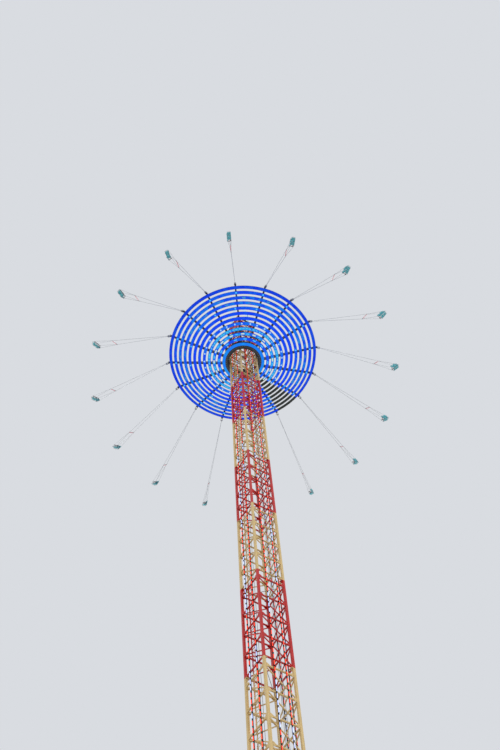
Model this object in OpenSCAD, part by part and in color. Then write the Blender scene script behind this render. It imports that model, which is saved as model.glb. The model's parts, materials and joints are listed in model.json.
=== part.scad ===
// Chair swing tower ride, a 1:10 scale model.
// All lengths are millimetres on the model; the real ride is ten times larger.
// The origin is the middle of the base frame's flat underside, with +Z up.
// The tower's faces look along X and Y.

/* [Tower] */
// Width of the square tower across its outer faces
tower_w = 258; // [200:2:290]
// Width of each square leg
leg_w = 18; // [14:1:24]
// Width of the horizontal braces
brace_w = 10; // [7:0.5:12]
// Width of the diagonal braces
diagonal_w = 7; // [5:0.5:8]
// Height of the first splice above the ground
base_h = 520; // [400:10:700]
// Height of one tower section
section_h = 900; // [700:10:1000]
// Height of the short bay at the top of a section
splice_h = 70; // [50:5:100]
// Number of braced bays in a section
bays = 4; // [3:1:5]
// Width of the flange plate at each end of a leg
flange_w = 30; // [26:1:40]
// Thickness of the flange plate
flange_t = 4; // [3:0.5:6]

/* [Base frame] */
// Height of the base frame's beams
frame_h = 40; // [30:1:60]
// Width of the base frame's cross beams
beam_w = 34; // [26:1:50]
// Width of each square foot plate
foot_w = 120; // [100:5:160]
// Thickness of a foot plate
foot_t = 8; // [6:1:14]
// Distance between the anchor holes of a foot plate
anchor_pitch = 92; // [76:2:100]
// Diameter of the anchor holes
anchor_d = 6; // [4:0.5:8]
// Width of the block that joins leg and foot
block_w = 46; // [36:1:60]

/* [Light strips] */
// Distance of a light strip from the middle of its face
strip_y = 48; // [36:1:70]
// Width of a strip's mounting rail
strip_w = 8; // [6:0.5:12]
// Depth of a strip's mounting rail
strip_t = 4; // [3:0.5:6]
// Gap between the braces and the rail
strip_off = 1; // [0.3:0.1:6]
// Height at which the strips start
strip_start = 120; // [80:10:300]

/* [Ladder] */
// Distance of the ladder's middle from the middle of its face
ladder_y = 24; // [10:1:30]
// Distance between the middles of the two stringers
ladder_w = 45; // [35:1:55]
// Width of a stringer
stringer_w = 4; // [3:0.5:6]
// Depth of a stringer
stringer_t = 7; // [5:0.5:10]
// Distance from the braces to the stringers
ladder_off = 12; // [8:1:20]
// Thickness of the rungs and brackets
rung_d = 3; // [2:0.5:4]

/* [Hoist] */
// Diameter of a hoist rope
rope_d = 3; // [2:0.5:5]
// Radius of a rope's bend over a sheave
sheave_r = 18.5; // [16:0.5:20]
// Width of a sheave
sheave_w = 8; // [6:1:12]
// Thickness of a sheave's side plates
cheek_t = 4; // [3:0.5:6]
// Diameter of a sheave's axle
axle_d = 8; // [5:0.5:10]

/* [Head and crown] */
// Height of the head frame's beams
head_h = 20; // [14:1:30]
// Width of the head frame's beams
head_w = 16; // [12:1:17]
// Radius of the crown's light rings
crown_r = 123; // [100:1:130]
// Height of the lower crown ring above the tower's top
crown_low = 260; // [160:5:300]
// Height of the upper crown ring above the lower one
crown_rise = 160; // [100:5:200]
// Diameter of a crown light tube
crown_tube_d = 6; // [4:0.5:10]
// Diameter of a crown post
post_d = 8; // [6:0.5:12]

/* [Carriage] */
// Gap between the tower's corners and the drum
drum_gap = 5.8; // [5:0.1:8]
// Wall of the carriage drum
drum_t = 4; // [3:0.5:6]
// Height of the drum's wall above its flange
drum_up = 138; // [100:2:180]
// Height of the drum's wall below its flange
drum_down = 40; // [30:1:60]
// Width of the bearing flange on the drum
flange_out = 22; // [20:1:27]
// Thickness of the drum's two flanges
drum_flange_t = 6; // [4:0.5:8]
// Height of the guide frame on the drum
guide_h = 426; // [300:10:480]
// Thickness of the guide frame's beams
guide_w = 12; // [8:1:16]
// Gap between the light strips and the guide frame
guide_gap = 24; // [20:1:28]
// Radius of a guide roller
roller_r = 10; // [8:0.5:12]
// Width of a guide roller
roller_w = 10; // [8:0.5:12]
// Height of the slewing ring
race_h = 16; // [12:1:24]

/* [Star] */
// Distance from the tower's top down to the outermost light hoop
star_drop = 953; // [900:5:1100]
// Rise of the arms from hub to tip, in degrees
star_rise = 16.3; // [10:0.1:20]
// Number of light hoops
hoops = 12; // [8:1:12]
// Distance from one light hoop to the next
hoop_pitch = 62.5; // [55:0.5:66]
// Distance from the drum's inner wall to the first hoop's middle
hoop_start = 62.3; // [60:0.1:80]
// Width of a light hoop
hoop_w = 36; // [20:1:40]
// Thickness of a light hoop
hoop_t = 4; // [3:0.5:6]
// Width of an arm
arm_w = 14; // [12:1:20]
// Depth of an arm at the hub
arm_root_h = 56; // [40:1:60]
// Depth of an arm at its tip
arm_tip_h = 26; // [22:1:34]
// Distance from the last hoop's middle to the seat pivot
arm_over = 32.5; // [26:0.5:50]
// Distance from the seat pivot to the arm's end
arm_end = 12; // [9:0.5:16]
// Direction of the first arm, in degrees from +X
arm_phase = 8.5; // [0:0.5:22]
// Distance from an arm's middle line to the unlit stretch
dark_margin = 35; // [25:1:36]
// Thickness of the hub's plates
hub_t = 4.4; // [4:0.1:7]
// Height of the hub ring's wall
hub_h = 66; // [62:1:80]
// Running gap between hub and carriage
hub_gap = 5; // [5:0.1:6]

/* [Seats] */
// Distance from the seat pivot down to the seat
seat_drop = 1208; // [900:5:1260]
// Lean of the chains from the vertical, in degrees
fling = 45.8; // [0:0.1:50]
// Height of the spreader bar above the seat
spreader_up = 290; // [200:5:400]
// Length of the spreader bar
spreader_w = 110; // [90:1:130]
// Diameter of the spreader bar
spreader_d = 8; // [6:0.5:12]
// Diameter of the seat's pin
pin_d = 6; // [4:0.5:7]
// Clearance round the pin, on the diameter
pin_clear = 0.6; // [0.3:0.1:1]
// Gap between the arm's sides and the hanger
hanger_gap = 1; // [0.5:0.1:2]
// Thickness of a hanger plate
hanger_t = 4; // [3:0.5:6]
// Length of the hanger below the pin
hanger_l = 42; // [36:1:60]
// Diameter of the upper chains
chain_d = 3.2; // [2:0.1:5]
// Diameter of the lower chains
link_d = 2.6; // [2:0.1:4]
// Width of the double seat
seat_w = 108; // [90:1:120]
// Depth of the seat
seat_d = 44; // [36:1:56]
// Height of the backrest
back_h = 58; // [40:1:70]
// Height of the armrests
side_h = 28; // [20:1:36]
// Thickness of the seat's shells
shell_t = 4; // [3:0.5:6]
// Diameter of the lap bar
lap_d = 4; // [3:0.5:6]

/* [Hidden] */

// Number of tower sections above the base section, one for each node of that name
sections = 11;
// Number of arms and of seats, one for each node of that name
arms = 16;
// Small gap between a piece and its seat
seat_gap = 0.3;
// Depth to which the parts of one piece run into each other
overlap = 1;
// Gap between the head frame's beam and the rope inside it
rope_gap = 2.5;
// Gap between the rope's bend and the beam that it passes
bend_gap = 2.5;
// Depth of a sheave's groove
groove_t = 1.5;
// Width of a sheave's side plates, and their height above the axle
cheek_w = 28;
cheek_up = 10;
// Thickness of the hub's floor, and its gap to the first hoop
floor_t = 8;
floor_gap = 1.5;
// Step of the slewing ring inside the plates on both sides
race_step = 2;
// Thickness of a roller bracket, and its reach past the roller's middle
bracket_t = 3;
bracket_reach = 4;
// Gap between the drum's top flange and the lower rollers
roller_gap = 1;
// Height of the seat's pin above the arm's lower edge
pivot_up = 8;
// Radius of a hanger plate's round head
hanger_r = 8;
// Height of the block that the chains hang from, and the chains' distance from its middle
block_h = 12;
chain_x = 5;
// Distance of the chains from the spreader bar's ends
spreader_in = 6;
// Distance of the lower chains from the armrests' ends and top
corner_in = 4;
chain_low = 2;
// Distance of the lap bar from the seat's front edge
lap_in = 10;
// Fineness of round surfaces
$fn = 48;

// Colours of the paint and the lamps
cream = "#d8c99c";
red = "#b3150f";
galvanised = "#8e9296";
dark_steel = "#3a3f46";
blue_light = "#0a3cff";
cyan_light = "#7fe6ff";

// Tower heights
tower_top = base_h + sections * section_h;
bay_h = (section_h - splice_h) / bays;
leg_mid = (tower_w - leg_w) / 2;
brace_face = leg_mid + brace_w / 2;
half_w = tower_w / 2;

// Rope and sheave places, at the middle of the -Y and +Y faces
sheave_y = half_w - head_w - rope_gap - rope_d / 2 + sheave_r;
rope_base_z = frame_h + bend_gap + rope_d / 2 + sheave_r;
rope_head_z = tower_top + head_h + bend_gap + rope_d / 2 + sheave_r;
groove_r = sheave_r - rope_d / 2 - seat_gap;

// Crown places
crown_post_r = crown_r - crown_tube_d / 2 - post_d / 2 - seat_gap;
crown_beam_y = crown_post_r * sin(45);
crown_z = tower_top + crown_low;

// Star heights: the underside of the light hoops is a shallow cone
drum_r = half_w * sqrt(2) + drum_gap;
first_r = drum_r + hoop_start;
last_r = first_r + (hoops - 1) * hoop_pitch;
star_z = tower_top - star_drop;
function hoop_r(i) = first_r + i * hoop_pitch;
function cone_z(r) = star_z - (last_r - r) * tan(star_rise);
function seat_z(r) = cone_z(r) + hoop_t + seat_gap;

// Hub and carriage radii and heights
drum_out = drum_r + drum_t;
hub_in = drum_out + hub_gap;
flange_r = drum_out + flange_out;
hub_out = flange_r + hub_gap + hub_t;
floor_out = first_r - hoop_w / 2 - floor_gap;
floor_z = seat_z(hub_in);
wall_z = floor_z + floor_t;
hub_top_z = wall_z + hub_h;
race_z = hub_top_z - 2 * hub_t - seat_gap - race_h;
flange_z = race_z - drum_flange_t;
drum_top_z = flange_z + drum_up;
guide_in = brace_face + strip_off + strip_t + guide_gap;
guide_mid = guide_in + guide_w / 2;
guide_z = drum_top_z + drum_flange_t;
guide_top_z = guide_z + guide_h;
roller_y = half_w + seat_gap + roller_r;
roller_low_z = guide_z + roller_r + roller_gap;
roller_high_z = guide_top_z - guide_w / 2;

// Seat pivot
pivot_r = last_r + arm_over;
pivot_z = seat_z(pivot_r) + pivot_up;
hanger_y = arm_w / 2 + hanger_gap;

// A square bar along the line between two points, with its sides upright
module bar(from, to, w) {
    d = to - from;
    l = norm(d);
    translate(from)
        rotate([0, acos(d[2] / l), atan2(d[1], d[0])])
            translate([-w / 2, -w / 2, 0]) cube([w, w, l]);
}

// A round rod along the line between two points
module rod(from, to, d) {
    v = to - from;
    l = norm(v);
    translate(from)
        rotate([0, acos(v[2] / l), atan2(v[1], v[0])])
            cylinder(d = d, h = l, $fn = 16);
}

// Four copies, one for each tower face; the child is made for the -Y face
module each_face() {
    for (a = [0, 90, 180, 270]) rotate([0, 0, a]) children();
}

// A square plate at each leg, flush with the tower's outer corner
module leg_plates(z, w, t) {
    each_face()
        translate([half_w - w, -half_w, z]) cube([w, w, t]);
}

module legs(z, h) {
    leg_plates(z, leg_w, h);
}

// A horizontal brace on every face
module ring_brace(z) {
    each_face()
        translate([-leg_mid, -leg_mid - brace_w / 2, z - brace_w / 2])
            cube([2 * leg_mid, brace_w, brace_w]);
}

// A diagonal on every face, falling from upper left to lower right seen from outside
module ring_diagonal(z, h) {
    rise = h - 2 * brace_w;
    each_face()
        translate([0, -leg_mid, z + h / 2])
            rotate([0, atan2(2 * leg_mid, -rise), 0])
                cube([diagonal_w, diagonal_w, norm([2 * leg_mid, rise])], center = true);
}

// One tower section with its legs, flanges and bracing
module tower_section(i) {
    z0 = base_h + (i - 1) * section_h;
    color(i % 2 == 1 ? red : cream) {
        legs(z0, section_h);
        leg_plates(z0, flange_w, flange_t);
        leg_plates(z0 + section_h - flange_t, flange_w, flange_t);
        ring_brace(z0 + flange_t + brace_w / 2);
        for (b = [1 : bays]) ring_brace(z0 + b * bay_h);
        for (b = [0 : bays - 1]) ring_diagonal(z0 + b * bay_h, bay_h);
    }
}

module tower_base_section() {
    color(cream) {
        legs(frame_h, base_h - frame_h);
        leg_plates(frame_h, flange_w, flange_t);
        leg_plates(base_h - flange_t, flange_w, flange_t);
        ring_brace(base_h - splice_h);
        ring_brace((frame_h + base_h - splice_h) / 2);
        ring_diagonal(frame_h, (base_h - splice_h - frame_h) / 2);
        ring_diagonal((frame_h + base_h - splice_h) / 2, (base_h - splice_h - frame_h) / 2);
    }
}

// Side plates and axle that carry one rope sheave, for the +Y side
module sheave_mount(z, foot_z) {
    for (s = [-1, 1])
        translate([s * (sheave_w / 2 + seat_gap + cheek_t / 2) - cheek_t / 2, sheave_y - cheek_w / 2, foot_z])
            cube([cheek_t, cheek_w, z - foot_z + cheek_up]);
    translate([0, sheave_y, z]) rotate([0, 90, 0])
        cylinder(d = axle_d, h = sheave_w + 2 * cheek_t + 2 * seat_gap, center = true);
}

// Cross of beams on four foot plates, with the anchor holes
module base_frame() {
    color(dark_steel) difference() {
        union() {
            for (a = [0, 90]) rotate([0, 0, a])
                translate([-leg_mid, -beam_w / 2, 0]) cube([2 * leg_mid, beam_w, frame_h]);
            for (x = [-1, 1], y = [-1, 1]) translate([x * leg_mid, y * leg_mid, 0]) {
                translate([-foot_w / 2, -foot_w / 2, 0]) cube([foot_w, foot_w, foot_t]);
                translate([-block_w / 2, -block_w / 2, 0]) cube([block_w, block_w, frame_h]);
            }
            each_face() translate([-leg_mid, -half_w, 0]) cube([2 * leg_mid, leg_w, frame_h]);
            for (a = [0, 180]) rotate([0, 0, a]) sheave_mount(rope_base_z, frame_h - overlap);
        }
        for (x = [-1, 1], y = [-1, 1], u = [-1, 1], v = [-1, 1])
            translate([x * leg_mid + u * anchor_pitch / 2, y * leg_mid + v * anchor_pitch / 2, -overlap])
                cylinder(d = anchor_d, h = foot_t + 2 * overlap);
    }
}

// Two mounting rails on every face, held off the braces by small blocks
module light_strips() {
    rail_y = brace_face + strip_off;
    color(dark_steel) each_face() for (s = [-1, 1]) {
        translate([s * strip_y - strip_w / 2, -rail_y - strip_t, strip_start])
            cube([strip_w, strip_t, tower_top - strip_start]);
        for (i = [0 : sections - 1], b = [1, 3])
            translate([s * strip_y - strip_w / 2, -rail_y - strip_t / 2,
                       base_h + i * section_h + b * bay_h - brace_w / 2])
                cube([strip_w, rail_y + strip_t / 2 - brace_face, brace_w]);
    }
}

// Ladder inside the -X face, with a rung and two brackets at each brace
module ladder() {
    x_front = -leg_mid + brace_w / 2;
    x_mid = x_front + ladder_off;
    color(galvanised) {
        for (s = [-1, 1])
            translate([x_mid - stringer_t / 2, ladder_y + s * ladder_w / 2 - stringer_w / 2, frame_h])
                cube([stringer_t, stringer_w, tower_top - frame_h]);
        for (i = [0 : sections - 1], b = [1 : bays]) {
            z = base_h + i * section_h + b * bay_h - rung_d / 2;
            translate([x_mid - rung_d / 2, ladder_y - ladder_w / 2, z])
                cube([rung_d, ladder_w, rung_d]);
            for (s = [-1, 1])
                translate([x_front, ladder_y + s * ladder_w / 2 - rung_d / 2, z])
                    cube([ladder_off, rung_d, rung_d]);
        }
    }
}

// Beams on the tower's top, which carry the upper sheaves and the crown
module head_frame() {
    color(dark_steel) {
        each_face() translate([-half_w, -half_w, tower_top]) cube([tower_w, head_w, head_h]);
        for (s = [-1, 1])
            translate([-half_w + head_w / 2, s * crown_beam_y - post_d, tower_top])
                cube([tower_w - head_w, 2 * post_d, head_h]);
        for (a = [0, 180]) rotate([0, 0, a]) sheave_mount(rope_head_z, tower_top + head_h - overlap);
    }
}

module rope_sheaves() {
    rim_r = groove_r + groove_t;
    color(galvanised)
        for (s = [-1, 1], z = [rope_base_z, rope_head_z])
            translate([0, s * sheave_y, z]) rotate([0, 90, 0])
                rotate_extrude() polygon([
                    [axle_d / 2 + seat_gap, -sheave_w / 2], [rim_r, -sheave_w / 2],
                    [rim_r, -rope_d / 2], [groove_r, -rope_d / 2],
                    [groove_r, rope_d / 2], [rim_r, rope_d / 2],
                    [rim_r, sheave_w / 2], [axle_d / 2 + seat_gap, sheave_w / 2]
                ]);
}

// Two endless ropes, each over a head sheave and under a base sheave
module hoist_ropes() {
    color(galvanised) for (s = [-1, 1]) translate([0, s * sheave_y, 0]) {
        for (side = [-1, 1]) translate([0, side * sheave_r, rope_base_z])
            cylinder(d = rope_d, h = rope_head_z - rope_base_z, $fn = 24);
        translate([0, 0, rope_head_z]) rotate([90, 0, 90])
            rotate_extrude(angle = 180) translate([sheave_r, 0]) circle(d = rope_d, $fn = 24);
        translate([0, 0, rope_base_z]) rotate([90, 180, 90])
            rotate_extrude(angle = 180) translate([sheave_r, 0]) circle(d = rope_d, $fn = 24);
    }
}

module crown_frame() {
    color(galvanised) for (a = [45 : 90 : 315]) rotate([0, 0, a])
        translate([crown_post_r, 0, tower_top + head_h])
            cylinder(d = post_d, h = crown_low + crown_rise - head_h + crown_tube_d);
}

module crown_rings() {
    color(cyan_light) for (z = [crown_z, crown_z + crown_rise]) translate([0, 0, z])
        rotate_extrude($fn = 96) translate([crown_r, 0]) circle(d = crown_tube_d, $fn = 24);
}

// Drum round the tower with a bearing flange and a top flange
module carriage_drum() {
    color(dark_steel) rotate_extrude($fn = 96) polygon([
        [drum_r, flange_z - drum_down], [drum_out, flange_z - drum_down],
        [drum_out, flange_z], [flange_r, flange_z],
        [flange_r, race_z], [drum_out, race_z],
        [drum_out, drum_top_z], [flange_r, drum_top_z],
        [flange_r, guide_z], [drum_r, guide_z]
    ]);
}

// Square beam round the tower, at height z
module guide_hoop(z) {
    translate([0, 0, z]) difference() {
        translate([-guide_in - guide_w, -guide_in - guide_w, 0])
            cube([2 * (guide_in + guide_w), 2 * (guide_in + guide_w), guide_w]);
        translate([-guide_in, -guide_in, -overlap])
            cube([2 * guide_in, 2 * guide_in, guide_w + 2 * overlap]);
    }
}

// Guide frame: two square hoops, four posts, diagonals and the roller brackets
module carriage_frame() {
    bracket_x = (roller_w + bracket_t) / 2 + seat_gap;
    color(dark_steel) {
        guide_hoop(guide_z);
        guide_hoop(guide_top_z - guide_w);
        for (x = [-1, 1], y = [-1, 1])
            translate([x * guide_mid - guide_w / 2, y * guide_mid - guide_w / 2, guide_z])
                cube([guide_w, guide_w, guide_h]);
        each_face() {
            bar([-guide_mid, -guide_mid, guide_z + guide_w / 2],
                [guide_mid, -guide_mid, guide_top_z - guide_w / 2], guide_w / 2);
            for (s = [-1, 1], c = [-1, 1], z = [roller_low_z, roller_high_z])
                translate([s * leg_mid + c * bracket_x - bracket_t / 2, -guide_in - overlap, z - guide_w / 2])
                    cube([bracket_t, guide_in + overlap - roller_y + bracket_reach, guide_w]);
        }
    }
}

module guide_rollers() {
    color("#1d1e20") each_face()
        for (s = [-1, 1], z = [roller_low_z, roller_high_z])
            translate([s * leg_mid, -roller_y, z]) rotate([0, 90, 0])
                cylinder(r = roller_r, h = roller_w, center = true);
}

module slewing_ring() {
    color(galvanised) translate([0, 0, race_z]) difference() {
        cylinder(r = flange_r - race_step, h = race_h, $fn = 96);
        translate([0, 0, -overlap]) cylinder(r = hub_in + race_step, h = race_h + 2 * overlap, $fn = 96);
    }
}

// Outer wall and top plate that turn on the slewing ring
module hub_ring() {
    plate_z = race_z + race_h + seat_gap;
    color(dark_steel) rotate_extrude($fn = 96) polygon([
        [hub_out - hub_t, wall_z], [hub_out, wall_z],
        [hub_out, hub_top_z], [hub_in, hub_top_z],
        [hub_in, plate_z], [hub_out - hub_t, plate_z]
    ]);
}

// Floor of the hub, which carries the roots of the arms
module hub_floor() {
    color(dark_steel) translate([0, 0, floor_z]) difference() {
        cylinder(r = floor_out, h = floor_t, $fn = 96);
        translate([0, 0, -overlap]) cylinder(r = hub_in, h = floor_t + 2 * overlap, $fn = 96);
    }
}

// Tapered box arms with a bore at the tip for the seat's pin
module star_arms() {
    root_r = hub_out + seat_gap;
    tip_r = pivot_r + arm_end;
    color(dark_steel) for (i = [0 : arms - 1]) rotate([0, 0, arm_phase + i * 360 / arms])
        difference() {
            rotate([90, 0, 0]) linear_extrude(arm_w, center = true) polygon([
                [root_r, seat_z(root_r)], [tip_r, seat_z(tip_r)],
                [tip_r, seat_z(tip_r) + arm_tip_h], [root_r, seat_z(root_r) + arm_root_h]
            ]);
            translate([pivot_r, 0, pivot_z]) rotate([90, 0, 0])
                cylinder(d = pin_d + pin_clear, h = arm_w + 2 * overlap, center = true);
        }
}

// A sloping flat band, a part of a circle from one angle over a span
module hoop(r, w, from, span) {
    rotate([0, 0, from]) rotate_extrude(angle = span, $fn = 96) polygon([
        [r - w / 2, cone_z(r - w / 2)], [r + w / 2, cone_z(r + w / 2)],
        [r + w / 2, cone_z(r + w / 2) + hoop_t], [r - w / 2, cone_z(r - w / 2) + hoop_t]
    ]);
}

// Angle that the unlit stretch keeps from each of its two arms
function dark_edge(r) = asin(dark_margin / r);

module light_hoops() {
    color(blue_light) for (i = [0 : hoops - 1]) {
        r = hoop_r(i);
        hoop(r, hoop_w, arm_phase + 360 / arms - dark_edge(r), 360 - 360 / arms + 2 * dark_edge(r));
    }
}

module dark_hoops() {
    color(dark_steel) for (i = [0 : hoops - 1]) {
        r = hoop_r(i);
        hoop(r, hoop_w, arm_phase + dark_edge(r), 360 / arms - 2 * dark_edge(r));
    }
}

// Hanger plates and pin, with the pin at the origin and the chains hanging down
module hanger() {
    rotate([90, 0, 0]) cylinder(d = pin_d, h = 2 * (hanger_y + hanger_t), center = true);
    for (s = [-1, 1]) {
        translate([0, s * (hanger_y + hanger_t / 2), 0]) {
            rotate([90, 0, 0]) cylinder(r = hanger_r, h = hanger_t, center = true);
            translate([-hanger_r, -hanger_t / 2, -hanger_l]) cube([2 * hanger_r, hanger_t, hanger_l]);
        }
    }
    translate([-hanger_r, -hanger_y - hanger_t, -hanger_l - block_h / 2])
        cube([2 * hanger_r, 2 * (hanger_y + hanger_t), block_h]);
}

// Double seat with its backrest, three armrests and a lap bar; z = 0 is the seat's top
module chair() {
    translate([-seat_w / 2, -seat_d / 2, -shell_t]) cube([seat_w, seat_d, shell_t]);
    translate([-seat_w / 2, -seat_d / 2 - shell_t, -shell_t]) cube([seat_w, shell_t, back_h + shell_t]);
    for (s = [-1, 0, 1])
        translate([s * (seat_w - shell_t) / 2 - shell_t / 2, -seat_d / 2 - overlap, -overlap])
            cube([shell_t, seat_d, side_h + overlap]);
    translate([0, seat_d / 2 - lap_in, side_h]) rotate([0, 90, 0])
        cylinder(d = lap_d, h = seat_w, center = true, $fn = 24);
}

// One seat on its chains, leaning outward from the tip of arm i
module swing_seat(i) {
    bar_z = -seat_drop + spreader_up;
    x_end = spreader_w / 2 - spreader_in;
    x_side = (seat_w - shell_t) / 2;
    color("#c9ced3")
        rotate([0, 0, arm_phase + (i - 1) * 360 / arms]) translate([pivot_r, 0, pivot_z])
            rotate([0, -fling, 0]) {
                hanger();
                for (s = [-1, 1])
                    rod([s * chain_x, 0, -hanger_l], [s * x_end, 0, bar_z], chain_d);
                translate([0, 0, bar_z]) rotate([0, 90, 0])
                    cylinder(d = spreader_d, h = spreader_w, center = true, $fn = 24);
                for (s = [-1, 1], t = [-1, 1])
                    rod([s * x_end, 0, bar_z],
                        [s * x_side, t * (seat_d / 2 - corner_in), -seat_drop + side_h - chain_low],
                        link_d);
                translate([0, 0, -seat_drop]) chair();
            }
}

base_frame();
tower_base_section();
tower_section(1);  // tower_section_01
tower_section(2);  // tower_section_02
tower_section(3);  // tower_section_03
tower_section(4);  // tower_section_04
tower_section(5);  // tower_section_05
tower_section(6);  // tower_section_06
tower_section(7);  // tower_section_07
tower_section(8);  // tower_section_08
tower_section(9);  // tower_section_09
tower_section(10);  // tower_section_10
tower_section(11);  // tower_section_11
light_strips();
ladder();
head_frame();
rope_sheaves();
hoist_ropes();
crown_frame();
crown_rings();
carriage_drum();
carriage_frame();
guide_rollers();
slewing_ring();
hub_ring();
hub_floor();
star_arms();
light_hoops();
dark_hoops();
swing_seat(1);  // swing_seat_01
swing_seat(2);  // swing_seat_02
swing_seat(3);  // swing_seat_03
swing_seat(4);  // swing_seat_04
swing_seat(5);  // swing_seat_05
swing_seat(6);  // swing_seat_06
swing_seat(7);  // swing_seat_07
swing_seat(8);  // swing_seat_08
swing_seat(9);  // swing_seat_09
swing_seat(10);  // swing_seat_10
swing_seat(11);  // swing_seat_11
swing_seat(12);  // swing_seat_12
swing_seat(13);  // swing_seat_13
swing_seat(14);  // swing_seat_14
swing_seat(15);  // swing_seat_15
swing_seat(16);  // swing_seat_16
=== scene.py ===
"""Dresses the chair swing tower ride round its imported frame: finishes, lamps, chains and seats."""
import json
import math
import random

import bpy
from mathutils import Matrix, Vector


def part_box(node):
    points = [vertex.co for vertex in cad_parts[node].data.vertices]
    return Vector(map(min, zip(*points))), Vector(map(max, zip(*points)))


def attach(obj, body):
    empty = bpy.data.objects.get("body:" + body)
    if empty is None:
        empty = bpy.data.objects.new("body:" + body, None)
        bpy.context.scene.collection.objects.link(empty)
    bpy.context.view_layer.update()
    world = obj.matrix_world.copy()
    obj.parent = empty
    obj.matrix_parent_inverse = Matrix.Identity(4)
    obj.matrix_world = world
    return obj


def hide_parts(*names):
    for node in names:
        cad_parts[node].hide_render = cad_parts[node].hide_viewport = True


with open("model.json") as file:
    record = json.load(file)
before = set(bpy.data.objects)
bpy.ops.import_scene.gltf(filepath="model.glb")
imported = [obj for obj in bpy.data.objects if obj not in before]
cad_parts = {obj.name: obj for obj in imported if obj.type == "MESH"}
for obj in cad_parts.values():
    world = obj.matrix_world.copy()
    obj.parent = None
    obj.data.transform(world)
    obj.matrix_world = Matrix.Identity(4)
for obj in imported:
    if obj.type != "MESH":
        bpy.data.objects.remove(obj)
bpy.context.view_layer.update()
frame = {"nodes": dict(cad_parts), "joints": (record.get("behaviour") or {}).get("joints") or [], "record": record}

# Sizes on the model, in metres. The real ride is ten times larger.
MM = 0.001
# Clearance between pieces that are seated on each other
GAP = 0.3 * MM

# Tower: its half width, legs and braces, then its painted sections with their bays and splices
HALF_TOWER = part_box("tower_section_01")[1].x
LEG = 18 * MM
LEG_MID = HALF_TOWER - LEG / 2
LEG_IN = HALF_TOWER - LEG
BRACE = 10 * MM
BAYS = 4
SPLICE = 70 * MM
SECTION_NAMES = sorted(name for name in frame["nodes"] if name.startswith("tower_section_"))
BASE_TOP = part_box("tower_base_section")[1].z
TOWER_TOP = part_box(SECTION_NAMES[-1])[1].z
SECTION = (TOWER_TOP - BASE_TOP) / len(SECTION_NAMES)
SECTION_LOWS = [BASE_TOP + index * SECTION for index in range(len(SECTION_NAMES))]
BAY = (SECTION - SPLICE) / BAYS

# Light strips: the place of their rails, and the tubes on them
STRIP_X = 48 * MM
STRIP_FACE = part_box("light_strips")[1].x
STRIP_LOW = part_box("light_strips")[0].z
TUBE_PITCH = 56.25 * MM
TUBE_LIT = 38 * MM
TUBE_CAP = 5 * MM
TUBE_R = 3.2 * MM
TUBE_STAND = TUBE_R * 0.9
# Chance that a run of white tubes starts at a tube, and the lengths that such a run may have
WHITE_CHANCE = 0.1
WHITE_RUNS = (1, 1, 2, 2, 3, 4)

# Star: its arms, the light hoops under them, and the slope of the cone that they lie on
ARMS = 16
ARM_PHASE = math.radians(8.5)
ARM_W = 14 * MM
ARM_ROOT_H = 56 * MM
ARM_TIP_H = 26 * MM
HOOPS = 12
HOOP_PITCH = 62.5 * MM
HOOP_W = 36 * MM
HOOP_T = 4 * MM
LAST_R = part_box("light_hoops")[1].x - HOOP_W / 2
FIRST_R = LAST_R - (HOOPS - 1) * HOOP_PITCH
ARM_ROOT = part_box("hub_ring")[1].x + GAP
ARM_TIP = LAST_R + 44.5 * MM
RISE = math.tan(math.radians(16.3))
STAR_Z = TOWER_TOP - 953 * MM

# Seats: their lean, and their sizes as they hang straight down from the pin at the arm's tip
FLING = math.radians(45.8)
HANGER_L = 42 * MM
HANGER_R = 8 * MM
SEAT_DROP = 1208 * MM
SPREADER_Z = -SEAT_DROP + 290 * MM
SPREADER_W = 110 * MM
SPREADER_R = 4 * MM
SEAT_W = 108 * MM
SEAT_D = 44 * MM
SIDE_X = SEAT_W / 2 - 2 * MM
ARMREST_Z = -SEAT_DROP + 28 * MM
LAP_BAR_Y = SEAT_D / 2 - 10 * MM
LAP_BAR_Z = ARMREST_Z + 1 * MM
BACK_H = 58 * MM
FRAME_TUBE_R = 1.6 * MM

# Buckets: their half width, their middle's distance from the seat's, and their shell. The seat turns up into
# the backrest round a bend, whose place is given in shares of the bucket's length from lip to head.
BUCKET_HALF = SEAT_W / 4 - 3 * MM
BUCKET_X = BUCKET_HALF + 1.2 * MM
BUCKET_T = 2 * MM
BEND_FROM = 0.42
BEND_SHARE = 0.16
BEND_R = 10 * MM

# The camera stands where the photograph was taken: beside the tower, looking steeply up
CAMERA_DISTANCE = 4.2
CAMERA_HEIGHT = 0.16
CAMERA_LENS = 37.57
CAMERA_PITCH = math.radians(64.248)
CAMERA_YAW = math.radians(0.919)
CAMERA_ROLL = math.radians(-5.644)
TOWER_TURN = math.radians(35.2275)


# Colours and materials

def linear(code):
    """A colour written as sRGB hex, turned to linear RGBA."""
    parts = [int(code[i:i + 2], 16) / 255 for i in (1, 3, 5)]
    return [c / 12.92 if c <= 0.04045 else ((c + 0.055) / 1.055) ** 2.4 for c in parts] + [1.0]


def add(tree, kind, links=None, values=None, stops=None, **settings):
    """Adds one node with its settings. links joins other nodes to its inputs, by their first output unless an
    output is given. values sets inputs, and stops are the (place, colour) pairs of a colour band. A colour is
    written as sRGB hex, or in stops also as one grey level."""
    node = tree.nodes.new(kind)
    for name, value in settings.items():
        setattr(node, name, value)
    if stops:
        band = node.color_ramp.elements
        while len(band) < len(stops):
            band.new(0.5)
        for element, (place, colour) in zip(band, stops):
            element.position = place
            element.color = linear(colour) if isinstance(colour, str) else (colour, colour, colour, 1)
    for key, value in (values or {}).items():
        node.inputs[key].default_value = linear(value) if isinstance(value, str) else value
    for key, source in (links or {}).items():
        tree.links.new(source.outputs[0] if isinstance(source, bpy.types.Node) else source, node.inputs[key])
    return node


def start_material(name):
    """A new material: returns it and its empty node tree."""
    material = bpy.data.materials.new(name)
    material.use_nodes = True
    material.node_tree.nodes.clear()
    return material, material.node_tree


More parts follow.
